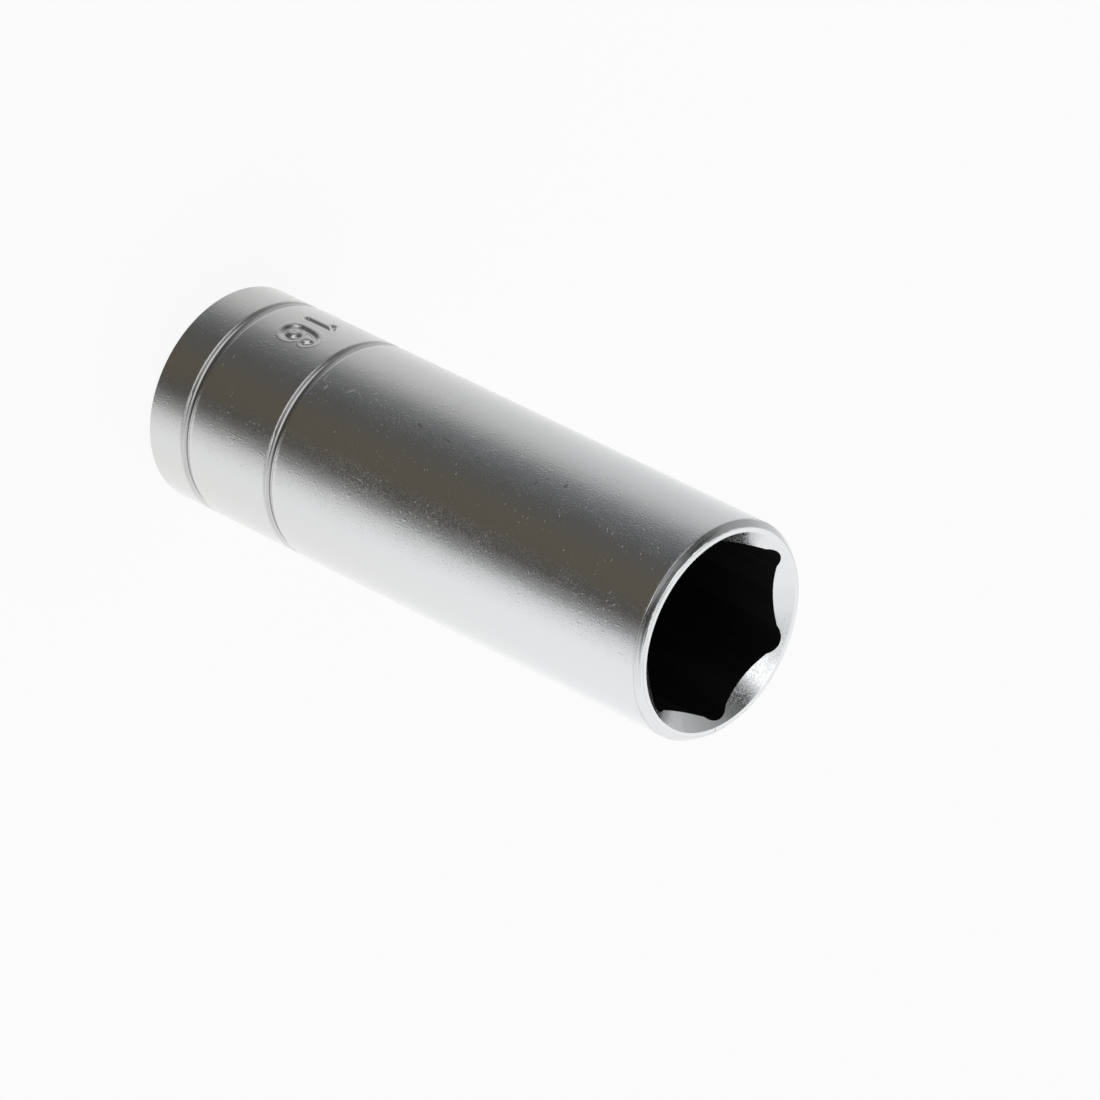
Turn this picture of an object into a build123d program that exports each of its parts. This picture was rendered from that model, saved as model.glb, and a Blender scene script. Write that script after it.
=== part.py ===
from build123d import *
from math import cos, hypot, radians, sin, sqrt, tan
import os

# Spark plug socket for a 16 mm hexagon, turned by a 3/8 inch square drive.
# Sizes are in millimetres. The origin is the centre of the drive end's face,
# and +Z runs along the axis to the hexagonal mouth.

# The hexagonal mouth
hex_size = 16.0
hex_clearance = 0.1
hex_depth = 18.0
relief_radius = 1.74
relief_tip_gap = 0.125
entry_margin = 0.38
entry_slope = 41.0

# Outside of the body
length = 63.5
corner_wall = 1.43
mouth_bevel_width = 0.56
mouth_bevel_height = 0.65
mouth_edge_break = 0.12
base_bevel_width = 0.6
base_bevel_height = 0.35

# The two turned rings near the drive end
ring_width = 1.1
ring_depth = 0.22
ring_edge_radius = 0.5
lower_ring_height = 5.15
upper_ring_height = 16.22

# The square that takes the ratchet's drive
drive_size = 9.53
drive_clearance = 0.12
drive_corner_radius = 0.6
drive_depth = 11.5
drive_entry_margin = 0.25
detent_height = 5.5
detent_depth = 0.8
detent_floor_width = 1.4
detent_wall_slope = 50.0

# The chamber for the plug's insulator
web_thickness = 3.5
web_hole_step = 0.57
chamber_step = 0.35
chamber_floor_slope = 31.0

# The rubber insert that holds the plug
insert_length = 20.0
insert_setback = 1.5
insert_bore = 10.0
insert_clearance = 0.1
insert_lead_in = 1.5
insert_tail_chamfer = 0.8
collar_height = 3.0
collar_offset = 1.5
collar_reach = 0.9

# Radii that follow from the hexagon
hex_flat_radius = (hex_size + hex_clearance) / 2
hex_corner_radius = hex_flat_radius / cos(radians(30))
relief_tip_radius = hex_corner_radius - relief_tip_gap
relief_centre_radius = relief_tip_radius - relief_radius
entry_radius = relief_tip_radius + entry_margin
outer_radius = relief_tip_radius + corner_wall

# Each relief circle crosses the flats, and the sharp corner beyond it is cut back
relief_rise = hex_flat_radius - relief_centre_radius * cos(radians(30))
relief_start = relief_centre_radius * sin(radians(30)) - sqrt(relief_radius**2 - relief_rise**2)
corner_cut_radius = (hypot(hex_flat_radius, relief_start) + relief_tip_radius) / 2

# Radii that follow from the drive square and the chamber
drive_flat_radius = (drive_size + drive_clearance) / 2
drive_entry_radius = drive_flat_radius * sqrt(2) + drive_entry_margin
detent_mouth_width = detent_floor_width + 2 * detent_depth / tan(radians(detent_wall_slope))
web_hole_radius = drive_flat_radius - web_hole_step
chamber_radius = hex_flat_radius - chamber_step
insert_radius = chamber_radius - insert_clearance
collar_radius = insert_radius + collar_reach
collar_seat_radius = collar_radius + insert_clearance

# Heights above the drive end's face
web_top = drive_depth + web_thickness
chamber_floor_top = web_top + (chamber_radius - web_hole_radius) * tan(radians(chamber_floor_slope))
hex_floor = length - hex_depth
insert_top = hex_floor - insert_setback
insert_bottom = insert_top - insert_length
collar_top = insert_top - collar_offset
collar_bottom = collar_top - collar_height

# Circle whose segment is one ring's hollow
ring_arc_radius = ((ring_width / 2) ** 2 + ring_depth**2) / (2 * ring_depth)
ring_arc_centre = outer_radius - ring_depth + ring_arc_radius

os.makedirs("parts", exist_ok=True)

# Body: one forged and turned piece
with BuildPart() as socket_body:
    # Outside: a plain cylinder with a bevel at each end and two rounded rings.
    # Both corners of the mouth's bevel are broken, as on any turned edge that is handled.
    with BuildSketch(Plane.XZ) as outside:
        with BuildLine():
            Polyline(
                (0, 0),
                (outer_radius - base_bevel_width, 0),
                (outer_radius, base_bevel_height),
                (outer_radius, length - mouth_bevel_height),
                (outer_radius - mouth_bevel_width, length),
                (0, length),
                close=True,
            )
        make_face()
        mouth_corners = outside.vertices().filter_by_position(Axis.Y, length / 2, length)
        chamfer(mouth_corners.sort_by(Axis.X)[-2:], mouth_edge_break)
        with Locations((ring_arc_centre, lower_ring_height), (ring_arc_centre, upper_ring_height)):
            Circle(ring_arc_radius, mode=Mode.SUBTRACT)
        fillet(outside.vertices(Select.LAST), ring_edge_radius)
    revolve(axis=Axis.Z)

    # Hexagon: broached flats that run into a round relief at every corner
    with BuildSketch(Plane.XY.offset(hex_floor)) as hexagon:
        RegularPolygon(hex_flat_radius, 6, major_radius=False, rotation=30)
        Circle(corner_cut_radius, mode=Mode.INTERSECT)
        with PolarLocations(relief_centre_radius, 6, start_angle=30):
            Circle(relief_radius)
    extrude(amount=hex_depth, mode=Mode.SUBTRACT)

    # Entry: a cone that leads the plug in and scallops against the hexagon
    with BuildSketch(Plane.XZ):
        with BuildLine():
            Polyline(
                (0, length),
                (entry_radius, length),
                (0, length - entry_radius * tan(radians(entry_slope))),
                close=True,
            )
        make_face()
    revolve(axis=Axis.Z, mode=Mode.SUBTRACT)

    # Bore: web hole, drilled floor, chamber and the seat of the insert's collar
    with BuildSketch(Plane.XZ):
        with BuildLine():
            Polyline(
                (0, drive_depth),
                (web_hole_radius, drive_depth),
                (web_hole_radius, web_top),
                (chamber_radius, chamber_floor_top),
                (chamber_radius, collar_bottom),
                (collar_seat_radius, collar_bottom),
                (collar_seat_radius, collar_top + insert_clearance),
                (chamber_radius, collar_top + insert_clearance),
                (chamber_radius, hex_floor),
                (0, hex_floor),
                close=True,
            )
        make_face()
    revolve(axis=Axis.Z, mode=Mode.SUBTRACT)

    # Drive: the square, its conical entry and the groove that the drive's ball clicks into
    with BuildSketch(Plane.XY):
        RectangleRounded(2 * drive_flat_radius, 2 * drive_flat_radius, drive_corner_radius)
    extrude(amount=drive_depth, mode=Mode.SUBTRACT)
    with BuildSketch(Plane.XZ):
        with BuildLine():
            Polyline((0, 0), (drive_entry_radius, 0), (0, drive_entry_radius), close=True)
            Polyline(
                (0, detent_height - detent_mouth_width / 2),
                (drive_flat_radius, detent_height - detent_mouth_width / 2),
                (drive_flat_radius + detent_depth, detent_height - detent_floor_width / 2),
                (drive_flat_radius + detent_depth, detent_height + detent_floor_width / 2),
                (drive_flat_radius, detent_height + detent_mouth_width / 2),
                (0, detent_height + detent_mouth_width / 2),
                close=True,
            )
        make_face()
    revolve(axis=Axis.Z, mode=Mode.SUBTRACT)

socket_body.part.label = "socket_body"
export_step(socket_body.part, "parts/socket_body.step")

# Insert: one moulded rubber bush, held by its collar in the chamber's seat
with BuildPart() as retaining_insert:
    with BuildSketch(Plane.XZ):
        with BuildLine():
            Polyline(
                (insert_bore / 2, insert_bottom),
                (insert_radius - insert_tail_chamfer, insert_bottom),
                (insert_radius, insert_bottom + insert_tail_chamfer),
                (insert_radius, collar_bottom),
                (collar_radius, collar_bottom),
                (collar_radius, collar_top),
                (insert_radius, collar_top),
                (insert_radius, insert_top),
                (insert_bore / 2 + insert_lead_in, insert_top),
                (insert_bore / 2, insert_top - insert_lead_in),
                close=True,
            )
        make_face()
    revolve(axis=Axis.Z)

retaining_insert.part.label = "retaining_insert"
export_step(retaining_insert.part, "parts/retaining_insert.step")
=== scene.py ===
# %% [markdown]
# # A satin chrome spark plug socket
#
# The socket is a turned steel tube, about 63 mm long and 21 mm across. One end has a hexagon for the
# spark plug, the other a square for the ratchet. Its solids come with the loaded frame, so this lesson
# is about the looks: a plated surface that is only as good as what it mirrors, a near-black inside, a
# stamped number, a rubber insert, and a studio that gives the metal its long dark band.

# %% Load the frame
from math import atan, ceil, cos, degrees, hypot, pi, radians, sin, tan

import bmesh
import bpy
import numpy as np
from mathutils import Matrix, Vector, noise


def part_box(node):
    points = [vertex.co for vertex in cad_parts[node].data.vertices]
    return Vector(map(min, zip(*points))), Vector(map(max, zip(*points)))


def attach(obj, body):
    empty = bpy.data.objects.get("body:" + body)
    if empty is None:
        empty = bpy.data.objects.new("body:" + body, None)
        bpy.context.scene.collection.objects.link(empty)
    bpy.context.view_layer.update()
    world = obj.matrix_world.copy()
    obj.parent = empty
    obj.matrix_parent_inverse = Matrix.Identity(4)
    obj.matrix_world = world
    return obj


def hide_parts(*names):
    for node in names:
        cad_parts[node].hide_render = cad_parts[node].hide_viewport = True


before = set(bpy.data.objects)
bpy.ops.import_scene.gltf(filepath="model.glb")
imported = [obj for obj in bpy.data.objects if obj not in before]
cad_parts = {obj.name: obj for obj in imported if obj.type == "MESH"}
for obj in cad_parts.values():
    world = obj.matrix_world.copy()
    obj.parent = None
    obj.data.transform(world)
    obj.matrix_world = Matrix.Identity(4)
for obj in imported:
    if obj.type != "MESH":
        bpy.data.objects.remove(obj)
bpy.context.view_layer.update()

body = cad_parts["socket_body"]
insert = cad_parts["retaining_insert"]
print("loaded", body.name, "and", insert.name)

# %% [markdown]
# Every finish below is told where it belongs by a height or a radius, so the first step measures the
# loaded body: its length, its outer radius, the radii of the flat lip at the mouth, and the heights of
# the two rings. A ring is found by the points that lie a little way inside the outer radius. Blender
# works in metres, so sizes that are easier to read in millimetres are written as so many times `mm`.

# %% Measure the body
mm = 0.001
level_with = 0.001 * mm
ring_depths = (0.18 * mm, 0.25 * mm)
above_base_bevel = 2 * mm


def reach_of(vertex):
    """The distance of a point from the axis."""
    return hypot(vertex.co.x, vertex.co.y)


body_points = body.data.vertices
high_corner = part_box("socket_body")[1]
length = high_corner[2]
outer_radius = max(reach_of(v) for v in body_points)
lip_radii = [reach_of(v) for v in body_points if v.co.z > length - level_with]
entry_radius = min(lip_radii)
lip_radius = max(lip_radii)

in_rings = [v for v in body_points if ring_depths[0] < outer_radius - reach_of(v) < ring_depths[1]]
ring_points = [v.co.z for v in in_rings if above_base_bevel < v.co.z < length / 2]
ring_split = sum(ring_points) / len(ring_points)
lower_points = [z for z in ring_points if z < ring_split]
upper_points = [z for z in ring_points if z > ring_split]
ring_heights = [(min(heights) + max(heights)) / 2 for heights in (lower_points, upper_points)]
print("length", round(length / mm, 2), "outer radius", round(outer_radius / mm, 2))
print("rings at", [round(z / mm, 2) for z in ring_heights])
print("lip from", round(entry_radius / mm, 2), "to", round(lip_radius / mm, 2))

# %% [markdown]
# ## The camera
#
# The photograph looks down on the socket as it lies. This part stands on its drive end, because a round
# bar would roll, so the camera is rolled instead: seen from the socket, the view is the same. A long
# lens from far away keeps the two ends almost the same size, as the photograph does.

# %% Place the camera
view_azimuth = -9.9
view_elevation = 37.78
view_roll = 116.14
view_distance = 0.7454
look_height = 42.13 * mm
look_aside = 0.09 * mm
lens_length = 269.93
film_width = 36.0
nearest_seen = 0.05

camera_data = bpy.data.cameras.new("camera")
camera_data.lens = lens_length
camera_data.sensor_width = film_width
camera_data.clip_start = nearest_seen
camera = bpy.data.objects.new("camera", camera_data)
bpy.context.collection.objects.link(camera)

aim = Matrix.Translation((0, 0, look_height))
aim = aim @ Matrix.Rotation(radians(view_azimuth), 4, "Z")
aim = aim @ Matrix.Rotation(radians(90 - view_elevation), 4, "X")
aim = aim @ Matrix.Translation((look_aside, 0, view_distance))
aim = aim @ Matrix.Rotation(radians(view_roll), 4, "Z")
camera.matrix_world = aim
bpy.context.scene.camera = camera
bpy.context.scene.view_settings.view_transform = "Standard"
print("camera at", [round(c, 3) for c in camera.matrix_world.translation])

# %% [markdown]
# Places on the round wall are given by an angle and a height. The angles run from the camera's own
# direction, which is 270 degrees, so that what faces the camera has the same angle in every cell.

# %% Angles round the wall
def wall_angle(point):
    """The angle of a point round the axis, in degrees from 0 to 360."""
    return (degrees(np.arctan2(point.y, point.x)) - view_azimuth) % 360


print("the camera stands at", round(wall_angle(camera.matrix_world.translation)), "degrees")

# %% [markdown]
# ## The stamped number
#
# The size is struck into the wall between the two rings with steel punches, before plating. A punch
# leaves a rounded valley, and pushes up a faint rim beside it. A bump texture can't do that well on
# chrome, where the eye follows every reflection, so the number is real geometry. A boolean cut with
# curved tools would work, but it leaves long thin faces. Instead the wall gets a patch of small squares,
# and each corner of the squares is pressed in by the depth of the nearest stroke.
#
# The loaded mesh is never changed, so the first step copies it. It carries the exact normals of the
# solid, which keep the round wall smooth with few faces. They are stored on the copy's face corners,
# where every later cut blends them by itself. Points that lie on each other are then merged.

# %% Copy the body with its normals
merge_distance = 0.0005 * mm

work = bmesh.new()
work.from_mesh(body.data)
true_normal = work.loops.layers.float_vector.new("true_normal")
corner_normals = [corner.vector.copy() for corner in body.data.corner_normals]
corners = (corner for face in work.faces for corner in face.loops)
for corner, normal in zip(corners, corner_normals):
    corner[true_normal] = normal
bmesh.ops.remove_doubles(work, verts=work.verts, dist=merge_distance)
print("copied", len(work.faces), "faces and", len(corner_normals), "corner normals")

# %% [markdown]
# The number's two figures are drawn as centre lines, in millimetres along the wall and up it. They are
# plain strokes: a slanted flag and a stem, then a hook that runs into a round bowl.

# %% Draw the figures
stroke_half_width = 0.52 * mm
stroke_depth = 0.24 * mm
rim_rise = 0.02 * mm
figure_angle = 220.0


def arc(centre, radii, start, end, steps):
    """Points on part of an ellipse, from one angle to another, in degrees."""
    turns = np.radians(np.linspace(start, end, steps))
    return np.column_stack((centre[0] + radii[0] * np.cos(turns), centre[1] + radii[1] * np.sin(turns)))


one = np.array([(-2.85, 11.40), (-2.00, 12.00), (-2.00, 8.85)])
six_hook = arc((0.85, 10.30), (1.02, 2.25), 50, 180, 18)
six_bowl = arc((0.77, 9.90), (0.94, 0.97), 0, 360, 25)
strokes = [line * mm for line in (one, six_hook, six_bowl)]
print("strokes with", [len(line) for line in strokes], "points")

# %% [markdown]
# The depth at a point follows from its distance to the nearest stroke: a smooth valley inside the
# stroke's half width, then the faint rim that the punch pushed up, which is a little narrower.

# %% The punch's profile
rim_width = 0.6


def distance_to_strokes(points):
    """The distance from each point to the nearest of the strokes."""
    nearest = np.full(len(points), np.inf)
    for line in strokes:
        for start, end in zip(line[:-1], line[1:]):
            along = end - start
            share = np.clip((points - start) @ along / (along @ along), 0, 1)
            gap = points - start - share[:, None] * along
            nearest = np.minimum(nearest, np.hypot(gap[:, 0], gap[:, 1]))
    return nearest


def press_depth(points):
    """How deep the punches went at each point, negative where the metal rose."""
    reach = distance_to_strokes(points) / stroke_half_width
    valley = 0.5 + 0.5 * np.cos(pi * np.clip(reach, 0, 1))
    rim = np.sin(pi * np.clip(reach - 1, 0, rim_width) / rim_width) ** 2
    return stroke_depth * valley - rim_rise * rim


print("deepest", round(press_depth(strokes[0]).max() / mm, 2), "mm")

# %% [markdown]
# Now the patch. The flat columns of the round wall are joined back into four-sided faces, cut by two
# level planes, and divided into small squares with grid fill. Only corners strictly inside the patch
# move, so its border still meets the wall, and no seam opens.

# %% Divide a patch of the wall
patch_low = 7.6 * mm
patch_high = 14.0 * mm
patch_angles = (201.0, 239.0)
square = 0.085 * mm
close_to = 0.01 * mm
same_column = radians(1)


def on_wall(face):
    """True for a face whose points all lie on the round wall."""
    return all(abs(reach_of(v) - outer_radius) < close_to for v in face.verts)


def crosses_patch(face):
    """True for a long column of the wall near the drive end that runs through the patch's height."""
    heights = [v.co.z for v in face.verts]
    return on_wall(face) and min(heights) < patch_low and patch_high < max(heights) < length / 2


def inside_patch(face):
    """True for a face of the wall whose middle lies in the patch."""
    middle = face.calc_center_median()
    between = patch_angles[0] < wall_angle(middle) < patch_angles[1]
    return between and patch_low < middle.z < patch_high and on_wall(face)


def is_upright(edge):
    """True for an edge whose two ends are at different heights."""
    return abs(edge.verts[0].co.z - edge.verts[1].co.z) > close_to


band = [f for f in work.faces if crosses_patch(f)]
bmesh.ops.join_triangles(work, faces=band, angle_face_threshold=same_column, angle_shape_threshold=pi)
for height in (patch_low, patch_high):
    columns = [f for f in work.faces if on_wall(f)]
    parts = set(columns) | {e for f in columns for e in f.edges} | {v for f in columns for v in f.verts}
    bmesh.ops.bisect_plane(work, geom=list(parts), plane_co=(0, 0, height), plane_no=(0, 0, 1))

patch = [f for f in work.faces if inside_patch(f)]
uprights = list({e for f in patch for e in f.edges if is_upright(e)})
rows = ceil((patch_high - patch_low) / square)
bmesh.ops.subdivide_edges(work, edges=uprights, cuts=rows - 1, use_grid_fill=True)
patch = [f for f in work.faces if inside_patch(f)]
levels = list({e for f in patch for e in f.edges if not is_upright(e)})
column_width = max(e.calc_length() for e in levels)
bmesh.ops.subdivide_edges(work, edges=levels, cuts=ceil(column_width / square) - 1, use_grid_fill=True)
patch = [f for f in work.faces if inside_patch(f)]
print("the patch has", len(patch), "squares in", rows, "rows")

# %% [markdown]
# Pressing moves each inner point along its radius. The normal of the pressed wall is worked out from
# the same formula, by a small shift along and up, so the shading is as smooth as the valley.

# %% Press the number
shift = 0.01 * mm
patch_set = set(patch)
inner = [v for v in {v for f in patch for v in f.verts} if all(f in patch_set for f in v.link_faces)]


def unrolled(vertex):
    """The vertex's place on the flattened wall: along it from the number's middle, and up."""
    turn = radians(wall_angle(vertex.co) - figure_angle)
    return turn * outer_radius, vertex.co.z


flat = np.array([unrolled(v) for v in inner])
depths = press_depth(flat)
slope_along = (press_depth(flat + (shift, 0)) - press_depth(flat - (shift, 0))) / (2 * shift)
slope_up = (press_depth(flat + (0, shift)) - press_depth(flat - (0, shift))) / (2 * shift)
pressed_normal = {}
for vertex, depth, along, up in zip(inner, depths, slope_along, slope_up):
    outward = Vector((vertex.co.x, vertex.co.y, 0)).normalized()
    sideways = Vector((-outward.y, outward.x, 0))
    vertex.co = outward * (outer_radius - depth) + Vector((0, 0, vertex.co.z))
    pressed_normal[vertex] = (outward + sideways * along + Vector((0, 0, up))).normalized()
for face in patch:
    for corner in face.loops:
        straight = Vector((corner.vert.co.x, corner.vert.co.y, 0)).normalized()
        corner[true_normal] = pressed_normal.get(corner.vert, straight)
steepest = degrees(atan(np.hypot(slope_along, slope_up).max()))
print("pressed", len(inner), "points, steepest", round(steepest), "degrees")

# %% [markdown]
# The two corners of the mouth's bevel are narrow flat strips in the solid. On the real socket they are
# rounded by plating and by knocks against other tools, more in some places than in others, and each
# stretch draws a line of light of another width. So the bevel and its strips are divided round the
# mouth, and the circle between each strip and the bevel wanders a little way up and down the bevel.

# %% Wear the edges of the bevel
wear_parts = 6
wear_reach = 0.11 * mm
wear_lean = 0.05 * mm
stretches = 4.5
ripples = 22
ripple_share = 0.6
lower_seed = 3.0
upper_seed = 8.0
edge_low = length - 0.80 * mm
widest_strip = 0.3 * mm
same_place = 0.02 * mm
same_strip = radians(5)


def in_edge_band(face):
    """True for the mouth's bevel and the two narrow strips beside it."""
    low = min(v.co.z for v in face.verts)
    near = min(reach_of(v) for v in face.verts)
    return low > edge_low and near > lip_radius - same_place


def across(face):
    """The width of a face of the edge, measured from the lip towards the wall."""
    heights = [v.co.z for v in face.verts]
    radii = [reach_of(v) for v in face.verts]
    return hypot(max(heights) - min(heights), max(radii) - min(radii))


def wear(angle, seed):
    """How far the edge is worn at an angle: long stretches with a finer ripple on them."""
    place = Vector((cos(angle), sin(angle), 0))
    layer = Vector((0, 0, seed))
    ripple = noise.noise(place * ripples + layer)
    return noise.noise(place * stretches + layer) + ripple_share * ripple


edge_faces = [f for f in work.faces if in_edge_band(f)]
bmesh.ops.join_triangles(work, faces=edge_faces, angle_face_threshold=same_strip, angle_shape_threshold=pi)
edge_faces = [f for f in work.faces if in_edge_band(f)]
circles = list({e for f in edge_faces for e in f.edges if not is_upright(e)})
bmesh.ops.subdivide_edges(work, edges=circles, cuts=wear_parts - 1, use_grid_fill=True)
edge_faces = [f for f in work.faces if in_edge_band(f)]
bevel_faces = [f for f in edge_faces if across(f) > widest_strip]
strips = set(edge_faces) - set(bevel_faces)
bevel_points = {v for f in bevel_faces for v in f.verts}
bevel_low = min(v.co.z for v in bevel_points)
bevel_high = max(v.co.z for v in bevel_points)
bevel_drop = bevel_high - bevel_low
bevel_run = max(reach_of(v) for v in bevel_points) - min(reach_of(v) for v in bevel_points)
print("the edge has", len(bevel_faces), "bevel faces and", len(strips), "strip faces")

# %% [markdown]
# A strip shades as a round edge if its normals turn from those of the bevel on one side to those of the
# wall, or of the lip, on the other. They are worked out from the bevel's slope, and the two circles are
# moved after that.

# %% Round the strips
upwards = Vector((0, 0, 1))
for vertex in {v for f in edge_faces for v in f.verts}:
    outward = Vector((vertex.co.x, vertex.co.y, 0)).normalized()
    if vertex in bevel_points:
        normal = (outward * bevel_drop + upwards * bevel_run).normalized()
    elif vertex.co.z > length - same_place:
        normal = upwards
    else:
        normal = outward
    for corner in vertex.link_loops:
        corner[true_normal] = normal

for vertex in bevel_points:
    outward = Vector((vertex.co.x, vertex.co.y, 0)).normalized()
    down_bevel = (outward * bevel_run - upwards * bevel_drop).normalized()
    angle = np.arctan2(vertex.co.y, vertex.co.x)
    if vertex.co.z < bevel_low + same_place:
        vertex.co -= down_bevel * (wear_reach * wear(angle, lower_seed) + wear_lean)
    elif vertex.co.z > bevel_high - same_place:
        vertex.co += down_bevel * (wear_reach * wear(angle, upper_seed) + wear_lean)
print("rounded the strips and moved", len(bevel_points), "points of the bevel")

# %% [markdown]
# The copy becomes a piece of its own. It rides on the only body, takes the body's plating, and stands
# for the loaded solid, which stays behind it for the other tools. It rides on the only body, takes
# the body's plating, and stands for the loaded solid, which stays behind it, hidden.

# %% Make the stamped body
mesh = bpy.data.meshes.new("stamped_body")
final_normals = [corner[true_normal].normalized() for face in work.faces for corner in face.loops]
work.to_mesh(mesh)
work.free()
mesh.shade_smooth()
mesh.normals_split_custom_set(final_normals)
stamped_body = bpy.data.objects.new("stamped_body", mesh)
bpy.context.collection.objects.link(stamped_body)
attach(stamped_body, "root")
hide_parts("socket_body")
print("the stamped body has", len(mesh.polygons), "faces")

# %% [markdown]
# ## Arithmetic on a surface
#
# A procedural finish is arithmetic: a distance from the axis, a mask, some noise, a mix. Math nodes
# can be wired one by one, but the result is hard to read. A small class that wraps a node's socket
# and overloads the operators lets the same sums be written as plain expressions.

# %% Write shader sums as expressions
class Wire:
    """The output of a node, on which sums can be written."""

    def __init__(self, finish, socket):
        self.finish = finish
        self.socket = socket

    def math(self, operation, *others):
        values = dict(enumerate((self, *others)))
        return self.finish.add("ShaderNodeMath", {"operation": operation}, values)

    def __add__(self, other):
        return self.math("ADD", other)

    def __radd__(self, other):
        return self.math("ADD", other)

    def __sub__(self, other):
        return self.math("SUBTRACT", other)

    def __rsub__(self, other):
        return self.finish.add("ShaderNodeMath", {"operation": "SUBTRACT"}, {0: other, 1: self})

    def __mul__(self, other):
        return self.math("MULTIPLY", other)

    def __rmul__(self, other):
        return self.math("MULTIPLY", other)

    def __truediv__(self, other):
        return self.math("DIVIDE", other)

    def step(self, start, end):
        """0 below start, 1 above end, and a smooth rise between them."""
        settings = {"data_type": "FLOAT", "interpolation_type": "SMOOTHSTEP"}
        values = {"Value": self, "From Min": start, "From Max": end}
        return self.finish.add("ShaderNodeMapRange", settings, values)


class Finish:
    """One material or world, and the single way to add any node to it."""

    def __init__(self, owner):
        owner.use_nodes = True
        self.tree = owner.node_tree
        self.tree.nodes.clear()

    def add(self, kind, settings=None, sockets=None, output=0):
        node = self.tree.nodes.new(kind)
        for name, value in (settings or {}).items():
            if name == "stops":
                self.set_stops(node.color_ramp, value)
            else:
                setattr(node, name, value)
        for name, value in (sockets or {}).items():
            if isinstance(value, Wire):
                self.tree.links.new(value.socket, node.inputs[name])
            else:
                node.inputs[name].default_value = value
        return Wire(self, node.outputs[output]) if len(node.outputs) else node

    def set_stops(self, ramp, stops):
        while len(ramp.elements) < len(stops):
            ramp.elements.new(0.5)
        for element, (place, colour) in zip(ramp.elements, stops):
            element.position = place
            element.color = colour

    def mix(self, factor, first, second):
        """The first colour where factor is 0 and the second where it is 1."""
        return self.add("ShaderNodeMix", {"data_type": "RGBA"}, {0: factor, 6: first, 7: second}, output=2)

    def noise(self, place, size, detail=2.0, roughness=0.5):
        """Soft noise from 0 to 1 whose lumps are about one size across."""
        sockets = {"Vector": place, "Scale": 1 / size, "Detail": detail, "Roughness": roughness}
        return self.add("ShaderNodeTexNoise", {}, sockets)


print("shader sums ready")

# %% [markdown]
# One material covers the whole body, so it has to know where it is. The shader reads each point's own
# coordinates, which stay on the body in every view. From them come the distance from the axis, the
# height, the turn round the axis and the way to the nearer ring. The masks below are sums on these: a
# mask is 1 where a finish belongs, 0 where it doesn't, and passes smoothly from one to the other.

# %% Read the place on the body
class Place:
    """Where a point of the body is, as wires that a mask can use."""

    def __init__(self, finish):
        self.finish = finish
        self.point = finish.add("ShaderNodeTexCoord", output=3)
        parts = [finish.add("ShaderNodeSeparateXYZ", {}, {0: self.point}, output=k) for k in range(3)]
        self.x, self.y, self.height = parts
        self.radius = (self.x * self.x + self.y * self.y).math("SQRT")
        self.turn = self.y.math("ARCTAN2", self.x)
        self.towards_mouth = self.height.step(0, length)
        lower_way, upper_way = [(self.height - level).math("ABSOLUTE") for level in ring_heights]
        self.from_ring = lower_way.math("MINIMUM", upper_way)

    def noise(self, size, detail=2.0):
        return self.finish.noise(self.point, size, detail)

    def side(self, angle, far, near):
        """1 within near degrees of an angle round the wall, and 0 beyond far degrees."""
        turn = radians(angle + view_azimuth)
        facing = (self.x * cos(turn) + self.y * sin(turn)) / self.radius
        return facing.step(cos(radians(far)), cos(radians(near)))


print("places are read from the points' own coordinates")

# %% [markdown]
# ## Satin chrome
#
# The outside was blasted or tumbled to a fine grain before it was plated, so it mirrors like brushed
# metal, not like a bath tap. The rings, the mouth's edge, the lip and the entry cone were turned and
# stayed smoother. So the first masks tell the blasted wall from the turned places.

# %% Tell blasted from turned places
blast_end = length - 0.9 * mm
edge_start = length - 0.7 * mm


def blasted_wall(place):
    """1 on the blasted wall, and 0 in the rings, towards the mouth's edge and inside the tube."""
    on_skin = place.radius.step(outer_radius - 0.32 * mm, outer_radius - 0.26 * mm)
    off_rings = place.from_ring.step(0.6 * mm, 0.9 * mm)
    below_edge = 1 - place.height.step(blast_end, edge_start)
    return on_skin * off_rings * below_edge


def entry_cone(place):
    """1 inside the edge of the entry cone, and 0 from the lip outwards."""
    return 1 - place.radius.step(entry_radius - 0.1 * mm, entry_radius)


print("the wall is blasted up to", round(blast_end / mm, 1), "mm")

# %% [markdown]
# A few things make the satin look. A fine grain in the normal, with single pimples in it, breaks the edge
# between light and dark. Slow ripples bend the long reflections. The grain is stronger in some patches
# than in others, as blasting by hand leaves it, and coarser in one strip towards the mouth.

# %% The wall's grain
grain_size = 0.16 * mm
grain_height = 0.011 * mm
coarse_height = 0.014 * mm
coarse_angle = 243.0
pimple_size = 0.3 * mm
pimple_height = 0.008 * mm
patch_size = 2.5 * mm
swell_size = 2.2 * mm
swell_height = 0.010 * mm


def wall_grain(place, turned):
    """The height of the grain and of the slow ripples. Turned places have little of it."""
    coarse = place.side(coarse_angle, 17, 7) * place.height.step(0.35 * length, 0.7 * length)
    fine = place.noise(grain_size, detail=1.0) * (coarse * coarse_height + grain_height)
    pimples = place.noise(pimple_size, detail=0.0).step(0.66, 0.8) * pimple_height
    patchy = place.noise(patch_size).step(0.3, 0.7) * 0.8 + 0.5
    swell = place.noise(swell_size, detail=1.0) * swell_height
    return ((fine + pimples) * patchy + swell) * (1 - turned)


print("grain", grain_height / mm, "to", round((grain_height + coarse_height) / mm, 3), "mm high")

# %% [markdown]
# On the photographed socket the plate beside the dark band is speckled. Roughness does that better than
# a bump, which draws short worm-like lines at this size: a rough dot takes its light from a wider part
# of the tent, so it looks darker or lighter than the plate round it. The dots are strongest in the cone
# and on the side that faces the camera, and weaker in the band itself and near the drive end.

# %% Matt dots
core_angle = 262.0
dot_size = 0.15 * mm
dot_patch_size = 3.0 * mm


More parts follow.
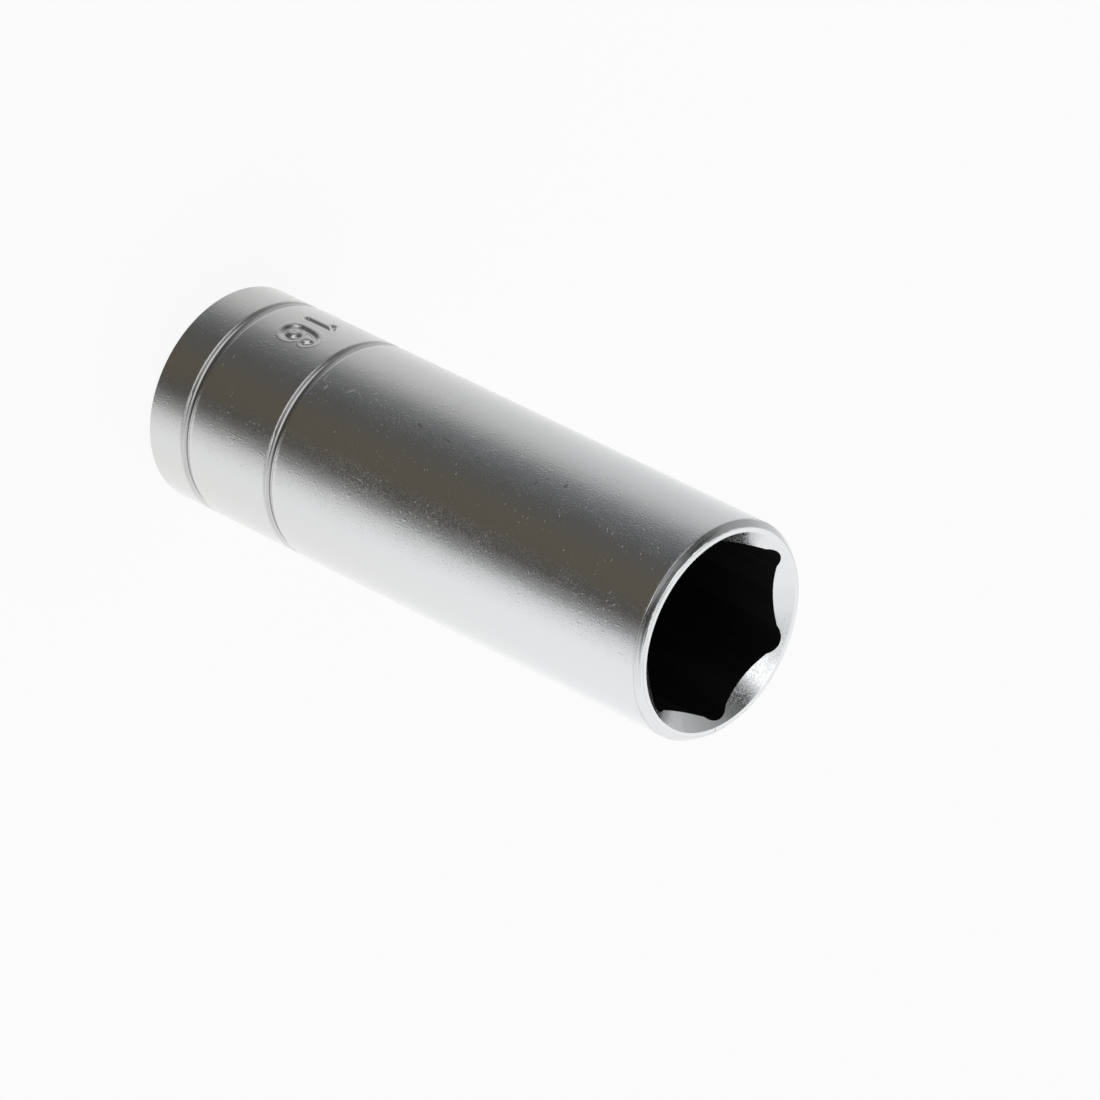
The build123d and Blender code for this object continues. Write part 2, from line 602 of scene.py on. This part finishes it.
def matt_dots(place, cone):
    """How matt the plate is at a point: single dots, in patches, more on some sides than on others."""
    dots = place.noise(dot_size, detail=1.0).step(0.36, 0.64)
    dots = dots * (place.noise(dot_patch_size).step(0.3, 0.7) * 0.35 + 0.8)
    dots = dots * (place.height.step(0.1 * length, 0.5 * length) * 0.6 + 0.4)
    dotted = place.side(core_angle, 56, 36).math("MAXIMUM", cone)
    in_band = place.side(core_angle, 14, 4)
    return dots * (dotted * 0.75 + 0.25) * (1 - in_band * 0.5)


print("matt dots", dot_size / mm, "mm across")

# %% [markdown]
# The socket has been used a little. There are short scratches beyond the upper ring, with two pinpricks
# further up, and dark flecks where the plate is thin and dull. Each is a soft-edged ellipse on the
# unrolled wall, given by its place, its half length, its half width and its slant. A scratch presses the
# surface in, and a fleck darkens it.

# %% Wear marks
scratches = [
    (241.3, 21.8 * mm, 0.55 * mm, 0.07 * mm, 55),
    (242.0, 20.8 * mm, 0.55 * mm, 0.08 * mm, -35),
    (246.3, 18.2 * mm, 0.35 * mm, 0.08 * mm, -8),
    (241.0, 17.3 * mm, 0.55 * mm, 0.06 * mm, 12),
    (276.8, 29.5 * mm, 0.11 * mm, 0.10 * mm, 0),
    (277.6, 35.6 * mm, 0.14 * mm, 0.11 * mm, 60),
]
flecks = [
    (242.8, 29.8 * mm, 0.45 * mm, 0.11 * mm, 75),
    (243.6, 33.4 * mm, 0.70 * mm, 0.10 * mm, 85),
    (237.6, 47.5 * mm, 0.30 * mm, 0.16 * mm, 5),
    (243.4, 44.7 * mm, 0.24 * mm, 0.12 * mm, 20),
    (238.8, 45.4 * mm, 0.26 * mm, 0.08 * mm, 80),
    (285.3, 8.3 * mm, 0.40 * mm, 0.08 * mm, 5),
    (251.5, 22.2 * mm, 0.20 * mm, 0.12 * mm, 30),
]
scratch_depth = 0.012 * mm


def mark(place, shape):
    """1 in the middle of one mark and 0 outside it."""
    angle, level, reach, width, slant = shape
    along = (place.turn - radians(angle + view_azimuth - 360)) * outer_radius
    up = place.height - level
    lengthways = along * cos(radians(slant)) + up * sin(radians(slant))
    sideways = up * cos(radians(slant)) - along * sin(radians(slant))
    far = lengthways * lengthways / reach**2 + sideways * sideways / width**2
    return 1 - far.step(0.2, 1.6)


def all_marks(place, shapes):
    """The sum of a list of marks, which don't touch each other."""
    total = mark(place, shapes[0])
    for shape in shapes[1:]:
        total = total + mark(place, shape)
    return total


print(len(scratches), "scratches and", len(flecks), "flecks")

# %% [markdown]
# The mouth's rim has two marks of its own. A narrow nick crosses the lip at one place. The bevel still
# shows the lines of the lathe: noise that is fine across the bevel and drawn out round it, because the
# turn counts for little in the vector that it reads.

# %% The nick and the lathe's lines
nick_angle = 35.0
nick_width = 0.05 * mm
nick_depth = 0.03 * mm
turning_pitch = 0.20 * mm
turning_depth = 0.026 * mm
turning_stretch = 0.25 * mm


def rim_nick(place):
    """1 in the nick and 0 elsewhere."""
    aside = (place.turn - radians(nick_angle + view_azimuth)) * outer_radius
    line = 1 - aside.math("ABSOLUTE").step(nick_width * 0.4, nick_width * 1.2)
    at_top = place.height.step(length - 0.25 * mm, length - 0.15 * mm)
    outside_cone = place.radius.step(9.5 * mm, 9.6 * mm)
    return line * at_top * outside_cone


def lathe_lines(place):
    """Lines from 0 to 1 round the bevel, and 0 elsewhere."""
    near_top = place.height.step(length - 0.72 * mm, length - 0.66 * mm)
    near_wall = place.radius.step(outer_radius - 0.70 * mm, outer_radius - 0.64 * mm)
    drawn_round = {0: place.radius, 1: place.turn * turning_stretch, 2: 0.0}
    drawn_round = place.finish.add("ShaderNodeCombineXYZ", {}, drawn_round)
    return place.finish.noise(drawn_round, turning_pitch, detail=1.0) * near_top * near_wall


print("lathe lines about", turning_pitch / mm, "mm apart")

# %% [markdown]
# The two rings are darkened with painted shade. Most of the way round that is a thin dark line at the
# bottom of the groove, with a fainter dark band beside it. On one side the painted shade fills the whole
# groove.

# %% Painted shade in the rings
shaded_ring_angle = 222.0
ring_shade_colour = (0.08, 0.09, 0.10, 1)


def shade_in_rings(place):
    """How much painted shade darkens the plate in the rings."""
    # Painted shade: on one side the rings are darkened over the whole groove, elsewhere only along a thin
    # line.
    shaded_side = place.side(shaded_ring_angle, 72, 18)
    thin_line = 1 - place.from_ring.step(0.05 * mm, 0.16 * mm)
    full_groove = 1 - place.from_ring.step(0.10 * mm, 0.34 * mm)
    in_groove = place.radius.step(outer_radius - 0.4 * mm, outer_radius - 0.3 * mm)
    line_elsewhere = thin_line * (1 - shaded_side)
    painted_shade = (line_elsewhere + full_groove * shaded_side) * in_groove
    side_shade = full_groove * (1 - shaded_side) * (1 - thin_line)
    return (painted_shade + side_shade * 0.35) * (line_elsewhere * 0.36 + 0.42)


print("grime fills the rings round", shaded_ring_angle, "degrees")

# %% [markdown]
# The plate's colour is a cool grey, a little warmer and darker at the drive end. The painted shade of the
# rings, a darker nick, painted dark streaks in the lathe's lines and the flecks are laid over it one after
# another.

# %% The plate's colour
drive_end_colour = (0.715, 0.715, 0.708, 1)
mouth_colour = (0.770, 0.780, 0.790, 1)
dark_mark_colour = (0.08, 0.08, 0.08, 1)
streak_shade_colour = (0.10, 0.10, 0.10, 1)


def plate_colour(place, nick, lines, fleck):
    """The plate's grey, with painted shade, the darker nick, painted streaks and the flecks laid over it.
    """
    colour = place.finish.mix(place.towards_mouth, drive_end_colour, mouth_colour)
    colour = place.finish.mix(shade_in_rings(place), colour, ring_shade_colour)
    # The nick is darker than the plate round it.
    colour = place.finish.mix(nick * 0.6, colour, dark_mark_colour)
    # Painted shade: the lathe's lines are darkened only on the side of the dark band, as painted dark
    # streaks that stand for reflections.
    painted_streaks = lines.step(0.46, 0.62) * place.side(core_angle, 50, 25)
    colour = place.finish.mix(painted_streaks * 0.55, colour, streak_shade_colour)
    return place.finish.mix(fleck * 0.6, colour, dark_mark_colour)


print("plate from", drive_end_colour[:3], "to", mouth_colour[:3])

# %% [markdown]
# Now the plate's parts come together. All relief goes into one height, because a surface has one normal,
# and the steel of the drive hollow below uses it too. The plate is smoothest at the mouth.

# %% The plate
smooth_roughness = 0.07
drive_end_roughness = 0.10
dot_roughness = 0.18
fleck_roughness = 0.2
cone_roughness = 0.03


def make_plate(place):
    """The plate's shader, and the bump that it shares with the steel."""
    cone = entry_cone(place)
    nick = rim_nick(place)
    lines = lathe_lines(place)
    fleck = all_marks(place, flecks)
    turned = (1 - blasted_wall(place)) * (0.85 - cone * 0.15)
    relief = wall_grain(place, turned) - all_marks(place, scratches) * scratch_depth
    relief = relief - nick * nick_depth + lines * turning_depth
    bump = place.finish.add("ShaderNodeBump", {}, {"Strength": 1.0, "Distance": 1.0, "Height": relief})
    rough = (1 - place.towards_mouth) * drive_end_roughness + smooth_roughness
    rough = rough + matt_dots(place, cone) * dot_roughness
    rough = rough + fleck * fleck_roughness + cone * cone_roughness
    colour = plate_colour(place, nick, lines, fleck)
    shader = place.finish.add("ShaderNodeBsdfPrincipled", {}, {
        "Base Color": colour, "Metallic": 1.0, "Roughness": rough, "Normal": bump})
    return shader, bump


roughest = round(smooth_roughness + drive_end_roughness, 2)
print("roughness between the dots from", smooth_roughness, "to", roughest)

# %% [markdown]
# The inside of the hexagon looks almost black. The plating bath hardly reaches into a deep hole, so the
# steel there keeps its dark skin of oil, with faint streaks left by the broach. Its near-black colour,
# with no mirror at all, is partly that skin and partly painted shade of the deep hole. The drive hollow
# gets less oil, so its steel is dark grey. Each is a shader of its own, mixed in by a mask. The mask of
# the mouth's
# hollow knows the entry cone: all that lies behind the cone is bare steel with painted shade.

# %% The steel in the two hollows
cone_slope = 41.0
streak_size = 1.6 * mm
streak_squeeze = (1.0, 1.0, 0.04)
skin_and_shade_colours = (0.012, 0.012, 0.012, 1), (0.018, 0.018, 0.018, 1)
drive_colour = (0.10, 0.10, 0.10, 1)
between_hollows = (11.4 * mm, 11.6 * mm)


def mouth_hollow(place):
    """1 on the steel behind the entry cone, down to the floor of the drive hollow."""
    rise = tan(radians(cone_slope))
    cone_height = place.radius * rise + (length - entry_radius * rise)
    behind_cone = (cone_height - place.height).step(0.01 * mm, 0.05 * mm)
    inside = 1 - place.radius.step(9.40 * mm, 9.45 * mm)
    return behind_cone * inside * place.height.step(*between_hollows)


def drive_hollow(place):
    """1 on the steel of the drive square, fading towards its conical entry."""
    inside = 1 - place.radius.step(6.9 * mm, 7.0 * mm)
    fade = place.height.step(0.5 * mm, 7 * mm)
    return inside * fade * (1 - place.height.step(*between_hollows))


# Painted shade: the near-black colour and the missing mirror stand partly for the shade of the deep hole.
def bare_steel_with_painted_shade(place):
    squeeze = {"operation": "MULTIPLY"}
    drawn_out = place.finish.add("ShaderNodeVectorMath", squeeze, {0: place.point, 1: streak_squeeze})
    streak = place.finish.noise(drawn_out, streak_size, detail=3.0)
    colour = place.finish.mix(streak.step(0.35, 0.7), *skin_and_shade_colours)
    return place.finish.add("ShaderNodeBsdfPrincipled", {}, {
        "Base Color": colour, "Roughness": 0.6, "Specular IOR Level": 0.0})


def drive_steel(place, bump):
    return place.finish.add("ShaderNodeBsdfPrincipled", {}, {
        "Base Color": drive_colour, "Metallic": 1.0, "Roughness": 0.45, "Normal": bump})


print("the hollows part at", between_hollows[0] / mm, "to", between_hollows[1] / mm, "mm")

# %% [markdown]
# The three shaders make one material, and the loaded solid gets it too. Its slot stays in place, and
# only the material in it changes.

# %% Put plate and steel on the body
def make_body_material():
    material = bpy.data.materials.new("satin_chrome")
    finish = Finish(material)
    place = Place(finish)
    shader, bump = make_plate(place)
    hollow_shader_with_shade = bare_steel_with_painted_shade(place)
    shader = finish.add("ShaderNodeMixShader", {}, {0: mouth_hollow(place), 1: shader, 2: hollow_shader_with_shade})
    steel = drive_steel(place, bump)
    shader = finish.add("ShaderNodeMixShader", {}, {0: drive_hollow(place), 1: shader, 2: steel})
    finish.add("ShaderNodeOutputMaterial", {}, {"Surface": shader})
    return material


satin_chrome = make_body_material()
stamped_body.data.materials.clear()
stamped_body.data.materials.append(satin_chrome)
for slot in body.material_slots:
    slot.material = satin_chrome
print("plate on", stamped_body.name, "from", len(satin_chrome.node_tree.nodes), "nodes")

# %% [markdown]
# ## The rubber insert
#
# The insert is a moulded bush, matt black, with the faint bloom that rubber gets on a shelf. It is
# soft to the light: almost no mirror, a broad pale gloss, and a fine pebbled skin from the mould.

# %% The rubber
bloom_size = 2.5 * mm
rubber_colours = (0.022, 0.022, 0.023, 1), (0.045, 0.044, 0.043, 1)
pebble_size = 0.15 * mm
pebble_height = 0.012 * mm


def make_rubber():
    material = bpy.data.materials.new("moulded_rubber")
    finish = Finish(material)
    point = finish.add("ShaderNodeTexCoord", output=3)
    bloom = finish.noise(point, bloom_size, detail=3.0).step(0.45, 0.8)
    colour = finish.mix(bloom, *rubber_colours)
    pebble = finish.noise(point, pebble_size, detail=2.0) * pebble_height
    bump = finish.add("ShaderNodeBump", {}, {"Strength": 1.0, "Distance": 1.0, "Height": pebble})
    rough = bloom * 0.15 + 0.62
    shader = finish.add("ShaderNodeBsdfPrincipled", {}, {
        "Base Color": colour, "Roughness": rough, "Specular IOR Level": 0.35, "Normal": bump})
    finish.add("ShaderNodeOutputMaterial", {}, {"Surface": shader})
    return material


for slot in insert.material_slots:
    slot.material = make_rubber()
print("rubber on", insert.name)

# %% [markdown]
# ## The studio
#
# The floor is plain white paper. Rays from the camera see mostly an even white glow in it, so the
# background comes out white without more light on the socket, and a faint shadow still shows. The
# metal doesn't mirror it, because what the wall of a standing socket mirrors lies below the horizon:
# there the tent of the next cell goes on, as it did around the socket in the photograph.

# %% The floor
floor_size = 6.0
paper_colour = (0.92, 0.92, 0.92, 1)
glow_share = 0.90


def make_floor():
    bpy.ops.mesh.primitive_grid_add(x_subdivisions=2, y_subdivisions=2, size=floor_size)
    floor = bpy.context.object
    floor.name = "floor"
    floor.visible_glossy = False
    material = bpy.data.materials.new("floor_paper")
    finish = Finish(material)
    paper = finish.add("ShaderNodeBsdfDiffuse", {}, {"Color": paper_colour})
    glow = finish.add("ShaderNodeEmission", {}, {"Color": (1, 1, 1, 1), "Strength": 1.0})
    camera_ray = finish.add("ShaderNodeLightPath", output="Is Camera Ray")
    mixed = finish.add("ShaderNodeMixShader", {}, {0: camera_ray * glow_share, 1: paper, 2: glow})
    finish.add("ShaderNodeOutputMaterial", {}, {"Surface": mixed})
    floor.data.materials.append(material)
    return floor


print("floor", make_floor().name)

# %% [markdown]
# The light is a tent of white cloth around the socket, with gaps. Polished metal shows its
# surroundings and little else, so the tent is drawn by direction. Three belts go round it, one above
# another, each with its own brightness by compass angle: the low belt that the wall mirrors, a bright
# slot at eye level that draws the fine lines on rings and edges, and an upper belt with a dark gap.
# Above them is the white roof, with one lamp behind the cloth. A belt is a list of places: the angle,
# the brightness there, and a warmth that tints it a little. A join is the span of heights, from -1
# straight down to 1 straight up, over which one belt passes into the next.

# %% The light tent
white = (1, 1, 1, 1)
slot_join = (-0.42, -0.12)
upper_join = (0.03, 0.12)
roof_join = (0.79, 0.87)
lamp_angle = 243
lamp_elevation = 61
lamp_edge = (14, 5)
lamp_colour = (1.38, 1.38, 1.38, 1)
low_belt = [(0, 1.0, 0), (45, 1.0, 0), (75, 1.05, 0), (100, 0.95, 0), (130, 0.80, 0), (146, 0.72, 0),
            (162, 0.65, 0), (178, 0.54, 0), (190, 0.38, 0), (202, 0.22, -0.02), (216, 0.145, -0.02),
            (230, 0.105, 0.0), (245, 0.108, 0.12), (268, 0.108, 0.24), (294, 0.093, 0.08), (309, 0.3, 0),
            (321, 0.75, 0), (333, 0.92, -0.01), (345, 1.0, -0.01)]
slot_belt = [(0, 0.75, 0), (20, 0.8, 0), (45, 1.0, 0), (90, 0.95, 0), (116, 0.75, 0), (140, 0.55, 0),
             (164, 0.36, 0), (189, 0.15, 0), (205, 0.25, 0), (216, 0.6, 0), (235, 1.0, 0), (282, 1.0, 0),
             (297, 0.65, 0), (330, 0.72, 0)]
upper_belt = [(0, 1.02, 0), (45, 1.03, 0), (90, 1.05, 0), (116, 0.76, 0), (140, 0.5, 0), (162, 0.36, 0),
              (173, 0.30, 0), (183, 0.19, 0), (196, 0.08, 0), (212, 0.11, 0), (225, 0.22, 0),
              (254, 0.34, 0), (266, 0.28, 0), (278, 0.13, 0), (290, 0.06, 0.04), (301, 0.16, 0.02),
              (313, 0.43, 0), (324, 0.76, 0), (337, 0.95, 0)]


def tinted(level, warmth):
    """A grey of one level, with more red and less blue where it is warm."""
    return (level * (1 + 0.6 * warmth), level, level * (1 - warmth), 1)


def direction(angle, elevation):
    """A way out from the socket, by the angle round it and the degrees above the floor."""
    flat_part = cos(radians(elevation))
    turn = radians(angle + view_azimuth)
    return (flat_part * cos(turn), flat_part * sin(turn), sin(radians(elevation)))


def make_tent():
    world = bpy.data.worlds.new("light_tent")
    bpy.context.scene.world = world
    finish = Finish(world)
    way = finish.add("ShaderNodeTexCoord", output="Generated")
    x, y, z = (finish.add("ShaderNodeSeparateXYZ", {}, {0: way}, output=k) for k in range(3))
    turn = (y.math("ARCTAN2", x) / (2 * pi) - view_azimuth / 360).math("FRACT")

    def belt(levels):
        stops = [(angle / 360, tinted(level, warmth)) for angle, level, warmth in levels]
        return finish.add("ShaderNodeValToRGB", {"stops": stops}, {0: turn})

    cloth = finish.mix(z.step(*slot_join), belt(low_belt), belt(slot_belt))
    cloth = finish.mix(z.step(*upper_join), cloth, belt(upper_belt))
    cloth = finish.mix(z.step(*roof_join), cloth, white)
    dot_product = {"operation": "DOT_PRODUCT"}
    to_lamp = direction(lamp_angle, lamp_elevation)
    facing = finish.add("ShaderNodeVectorMath", dot_product, {0: way, 1: to_lamp}, output=1)
    lamp = facing.step(*[cos(radians(degree)) for degree in lamp_edge])
    cloth = finish.mix(lamp, cloth, lamp_colour)
    camera_ray = finish.add("ShaderNodeLightPath", output="Is Camera Ray")
    seen = finish.mix(camera_ray, cloth, white)
    light = finish.add("ShaderNodeBackground", {}, {"Color": seen, "Strength": 1.0})
    finish.add("ShaderNodeOutputWorld", {}, {"Surface": light})
    return world


print("tent", make_tent().name)
